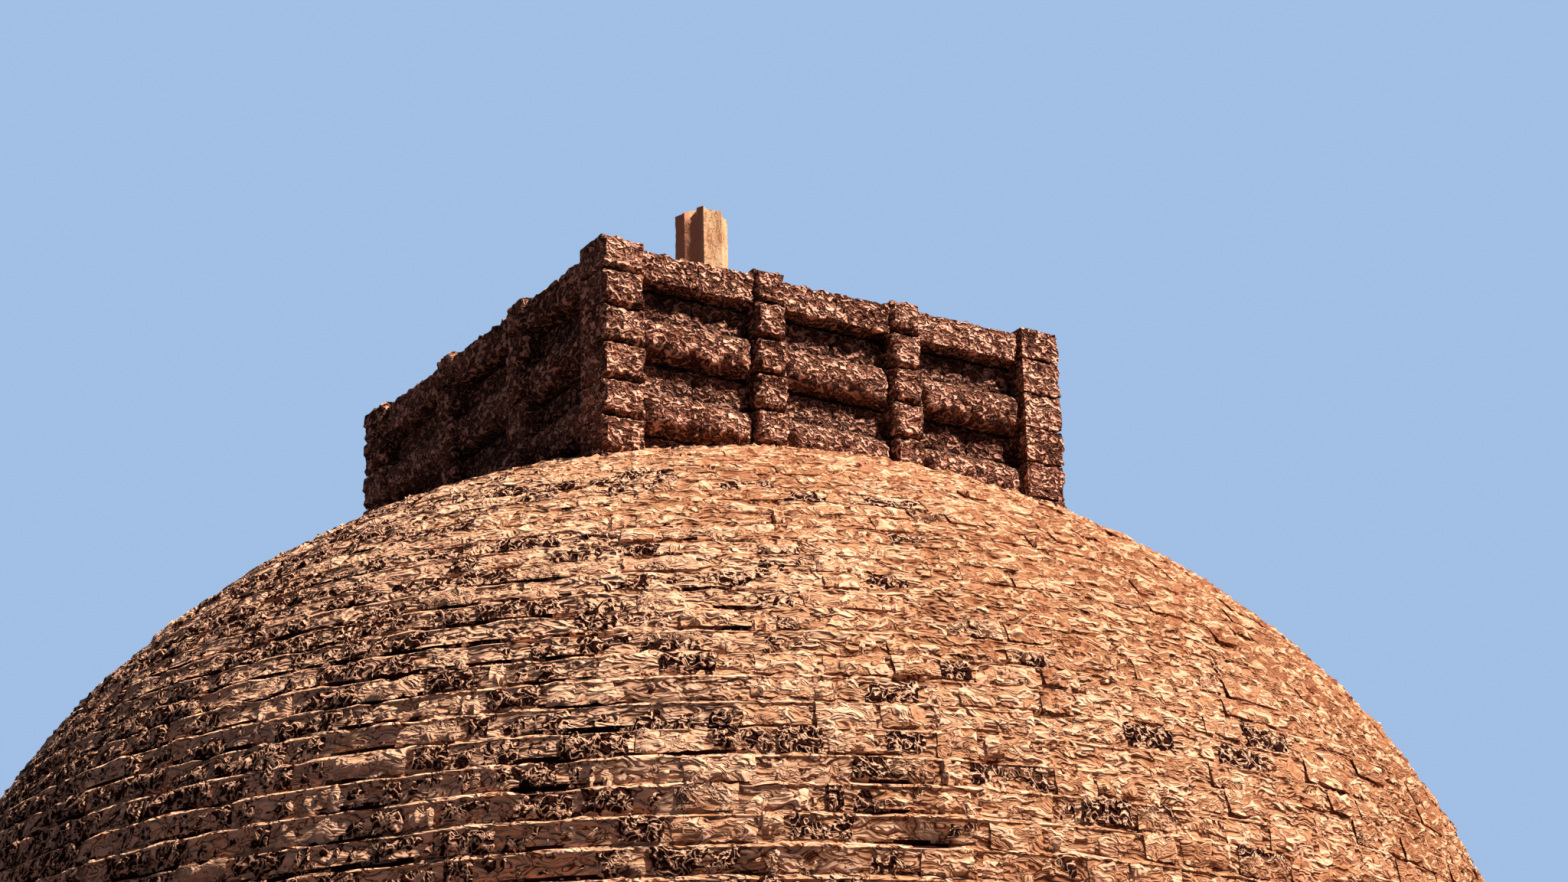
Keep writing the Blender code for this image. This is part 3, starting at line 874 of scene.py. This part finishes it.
def make_sandstone():
    """Pale sandstone with upright cracks and pits, with painted shade on the side away from the sun."""
    material, tree, place = start("sandstone")
    upright = node(tree, "ShaderNodeMapping", {"Vector": place, "Scale": (1, 1, 0.35)}).outputs["Vector"]
    cloud = grain(tree, place, 4, 6, 0.6)
    streaks = grain(tree, upright, 16, 6, 0.65, 0.3)
    grit = grain(tree, place, 70, 4, 0.6)
    shade = maths(tree, "MULTIPLY_ADD", streaks, 0.6, maths(tree, "MULTIPLY", cloud, 0.5))
    colour = ramp(tree, shade, (0.4, srgb(172, 120, 84)), (0.55, srgb(208, 160, 119)),
                  (0.7, srgb(232, 192, 150)))
    cut = maths(tree, "MAXIMUM", near_middle(tree, grain(tree, upright, 15, 3, 0.5, 0.6), 0.0, 0.03),
                span(tree, cloud, 0.46, 0.52))
    pit = span(tree, grain(tree, place, 34, 2, 0.5), 0.66, 0.58)
    cut = maths(tree, "MULTIPLY", cut, pit)
    colour = mix(tree, maths(tree, "MULTIPLY_ADD", cut, 0.55, 0.45), srgb(130, 82, 54), colour)
    # Painted shade: the side away from the sun is painted darker and redder, except at the chip and the
    # broken top.
    side = node(tree, "ShaderNodeVectorMath", {0: place, 1: (-0.86, 0.51, 0)}, operation="DOT_PRODUCT")
    low = span(tree, axes(tree, place)[2], SIDE_SHADE_TOP + 0.02, SIDE_SHADE_TOP)
    low = maths(tree, "MAXIMUM", low, span(tree, from_axis(tree, place), 0.142, 0.152))
    side_shade = maths(tree, "MULTIPLY", span(tree, side.outputs["Value"], -0.03, 0.03), low)
    colour = mix(tree, side_shade, colour, srgb(198, 134, 102))
    height = maths(tree, "MULTIPLY_ADD", grit, 0.3, maths(tree, "MULTIPLY_ADD", cut, 0.3, streaks))
    finish(tree, colour, height, 0.008)
    return material


sandstone = make_sandstone()
print("sandstone ready")

# %% [markdown]
# ## Eight hollow faces and a broken top
# The shaft is a circle of many corners pulled up in steps. Its corners are drawn in by how far each one
# is from an edge, so that eight hollow faces meet in sharp edges. A chip is pushed in near the top, and
# the top is lowered from corner to corner as if it were broken off.

# %% The shaft
SHAFT_EDGE, FLUTE, AROUND, SHAFT_TURN = 0.185, 0.013, 64, 19.5
SHAFT_FLAT = SHAFT_EDGE * math.cos(math.pi / 8)
BREAK, NOTCH = 0.3, 0.1  # how far the break and the chip reach down
BREAK_STEPS, CHIP_DEPTH = 12, 0.31
VIEW_LEFT = 149.3  # the direction that lies to the left in the view, in degrees round from X
shaft_foot = core_top - 0.1
shaft_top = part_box("shaft")[1][2] - 0.005
bpy.ops.object.select_all(action="DESELECT")
bpy.ops.mesh.primitive_circle_add(vertices=AROUND, radius=SHAFT_EDGE, location=(0, 0, shaft_foot))
shaft = bpy.context.object
shaft.name = "fluted_shaft"
bpy.ops.object.transform_apply(location=True, rotation=True, scale=True)
bpy.ops.object.mode_set(mode="EDIT")
bpy.ops.mesh.select_mode(type="EDGE")
bpy.ops.mesh.select_all(action="SELECT")
bpy.ops.mesh.edge_face_add()
for rise in [(shaft_top - BREAK - shaft_foot) / 8] * 8 + [BREAK / BREAK_STEPS] * BREAK_STEPS:
    bpy.ops.mesh.extrude_edges_move(TRANSFORM_OT_translate={"value": (0, 0, rise)})
for share in (0.45, 0.5):
    bpy.ops.mesh.extrude_edges_move(TRANSFORM_OT_translate={"value": (0, 0, 0)})
    bpy.ops.transform.resize(value=(share, share, 1), center_override=(0, 0, 0))
bpy.ops.mesh.merge(type="CENTER")
bpy.ops.mesh.select_all(action="SELECT")
bpy.ops.mesh.normals_make_consistent(inside=False)
bpy.ops.mesh.select_mode(type="VERT")
print("shaft vertices:", len(bmesh.from_edit_mesh(shaft.data).verts))


def column(co):
    """The number of the upright line of corners that a point is on."""
    return round(math.atan2(co.y, co.x) / (2 * math.pi / AROUND)) % AROUND


def lowered(across):
    """How far the broken top is below its highest point. across grows from right to left in the view."""
    if across > 0.108:
        return 0.034 - (across - 0.108) * 0.35
    if across < -0.13:
        return 0.012 + (-0.13 - across) * 0.25
    if abs(across + 0.017) < 0.012:
        return 0.0
    return 0.0 if across > 0 else 0.016


for number in range(1, 5):
    flat = SHAFT_FLAT / math.cos(math.pi / 8 - number * 2 * math.pi / AROUND)
    inside = (flat - FLUTE * math.sin(math.pi * number / 8)) / SHAFT_EDGE
    pick(lambda co: min(column(co) % 8, 8 - column(co) % 8) == number)
    bpy.ops.transform.resize(value=(inside, inside, 1), center_override=(0, 0, 0))
for number, deep in ((33, 1.0), (34, 1.0), (35, 1.0), (36, 1.0), (37, 0.1)):
    for row in range(1, 5):
        level = shaft_top - NOTCH + row * BREAK / BREAK_STEPS
        pick(lambda co: column(co) == number and abs(co.z - level) < 0.001 and co.xy.length > 0.12)
        inside = 1 - CHIP_DEPTH * deep * row / 4
        bpy.ops.transform.resize(value=(inside, inside, 1), center_override=(0, 0, 0))
for number in range(AROUND):
    across = SHAFT_EDGE * math.cos(math.radians(number * 360 / AROUND + SHAFT_TURN - VIEW_LEFT))
    pick(lambda co: column(co) == number and co.z > shaft_top - BREAK + 0.001)
    bpy.ops.transform.resize(value=(1, 1, 1 - lowered(across) / BREAK),
                             center_override=(0, 0, shaft_top - BREAK))
bpy.ops.object.mode_set(mode="OBJECT")
shaft.rotation_euler = (0, 0, math.radians(SHAFT_TURN))
bpy.ops.object.transform_apply(location=False, rotation=True, scale=False)
shaft.vertex_groups.new(name="face").add(list(range(len(shaft.data.vertices))), 1.0, "REPLACE")
break_face(shaft, "shaft", 7, (0.10, 0.008), (0.03, 0.004))
shaft.data.materials.append(sandstone)
keep(shaft, "shaft_stone", "shaft", angle=30)

# %% [markdown]
# ## The round base
# Nothing of the base shows from where the viewer stands, so it is plain: a plinth, a terrace wall
# with a coping round a walkway, and three low steps under the dome. It is laid with the same kind of
# stone as the dome, in level courses, and its ledges are covered with flat slabs.

# %% Stones of the base
WALL_COURSES, LEDGE_HEIGHT, SLAB_LENGTH = 17, 0.2, 0.74
wall_stones = [rough_stone(f"wall_stone_{k}", (0.46, 0.10, 0.165), (6, 3), dome_stone, 100 + k,
                           coarse=(0.12, 0.03), fine=(0.05, 0.012)) for k in range(6)]
ledge_blocks = [rough_stone(f"ledge_block_{k}", (0.66, 0.36, 0.19), (6, 2), dome_stone, 110 + k, rows=2,
                            edge=0.008, coarse=(0.15, 0.02), fine=(0.06, 0.008)) for k in range(4)]
slabs = [rough_stone(f"slab_{k}", (0.72, 0.08, 0.85), (5, 5), dome_stone, 120 + k,
                     edge=0.012, coarse=(0.3, 0.012), fine=(0.08, 0.008)) for k in range(4)]


def lay_wall(name, cad_node, radius, low, high, courses):
    """Lay an upright wall in level courses."""
    laid = []
    tall = (high - low) / courses
    for k in range(courses):
        laid += lay_course(wall_stones, (radius - 0.022, low + tall * k + 0.006),
                           (radius - 0.022, low + tall * (k + 1) - 0.018), 0.5, push=0.006)
    keep(join(name, laid), "base_stone", cad_node)


def lay_ledge(name, cad_node, radius, low, high, length=0.7):
    """Lay a course of deep blocks whose tops make a ledge."""
    laid = lay_course(ledge_blocks, (radius - 0.014, low + 0.01), (radius - 0.014, high - 0.01), length,
                      joint=0.014, push=0.0, uneven=0.12, turnable=False)
    keep(join(name, laid), "base_stone", cad_node)


plinth_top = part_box("base_plinth")[1]
wall_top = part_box("terrace_wall")[1]
coping_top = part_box("terrace_coping")[1]
lay_ledge("plinth_blocks_low", "base_plinth", plinth_top[0], 0.004, plinth_top[2] / 2)
lay_ledge("plinth_blocks_high", "base_plinth", plinth_top[0], plinth_top[2] / 2, plinth_top[2])
lay_wall("terrace_wall_stones", "terrace_wall", wall_top[0], plinth_top[2], wall_top[2], WALL_COURSES)
lay_ledge("coping_blocks", "terrace_coping", coping_top[0], wall_top[2], coping_top[2], 0.8)
outline = [(0.0, 0.001), (plinth_top[0] - 0.05, 0.001), (plinth_top[0] - 0.05, plinth_top[2] - 0.03),
           (wall_top[0] - 0.04, plinth_top[2] - 0.03), (wall_top[0] - 0.04, wall_top[2]),
           (coping_top[0] - 0.05, wall_top[2] + 0.01), (coping_top[0] - 0.05, coping_top[2] - 0.03)]
foot = coping_top[2]
for number in (1, 2, 3):
    ring_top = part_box(f"basal_ring_{number}")[1]
    lay_wall(f"ring_{number}_stones", f"basal_ring_{number}", ring_top[0], foot,
             ring_top[2] - LEDGE_HEIGHT, 2)
    lay_ledge(f"ring_{number}_ledge", f"basal_ring_{number}", ring_top[0],
              ring_top[2] - LEDGE_HEIGHT, ring_top[2])
    outline += [(ring_top[0] - 0.05, foot - 0.03), (ring_top[0] - 0.05, ring_top[2] - 0.03)]
    foot = ring_top[2]
outline += [(0.0, foot - 0.03)]
keep(turned("base_bed", outline, 144, mortar, 0.0), "base_stone", "base_plinth", "terrace_wall",
     "terrace_coping", "basal_ring_1", "basal_ring_2", "basal_ring_3")

# %% [markdown]
# ## The walkway
# The walkway round the foot of the dome is paved with one ring of broad slabs, turned to lie flat.

# %% Pave the walkway
walk = []
inner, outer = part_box("basal_ring_1")[1][0], coping_top[0] - 0.37
count = round(math.pi * (inner + outer) / SLAB_LENGTH)
size = Matrix.Diagonal((math.pi * (inner + outer) / count / 0.73, 1, (outer - inner - 0.012) / 0.85, 1))
for k in range(count):
    matrix = (Matrix.Rotation(2 * math.pi * k / count, 4, "Z")
              @ Matrix.Translation(((inner + outer) / 2, 0, coping_top[2] - 0.014))
              @ Matrix.Rotation(math.pi / 2, 4, "Z") @ Matrix.Rotation(-math.pi / 2, 4, "X") @ size)
    walk.append(place_copy(dice.choice(slabs), matrix, dice.random()))
keep(join("walkway_slabs", walk), "base_stone", "terrace_coping")

# %% [markdown]
# ## Take the kinds away
# The kinds of stone were only there to be copied, so they are removed.

# %% Finish
for kind in kinds:
    bpy.data.objects.remove(kind, do_unlink=True)
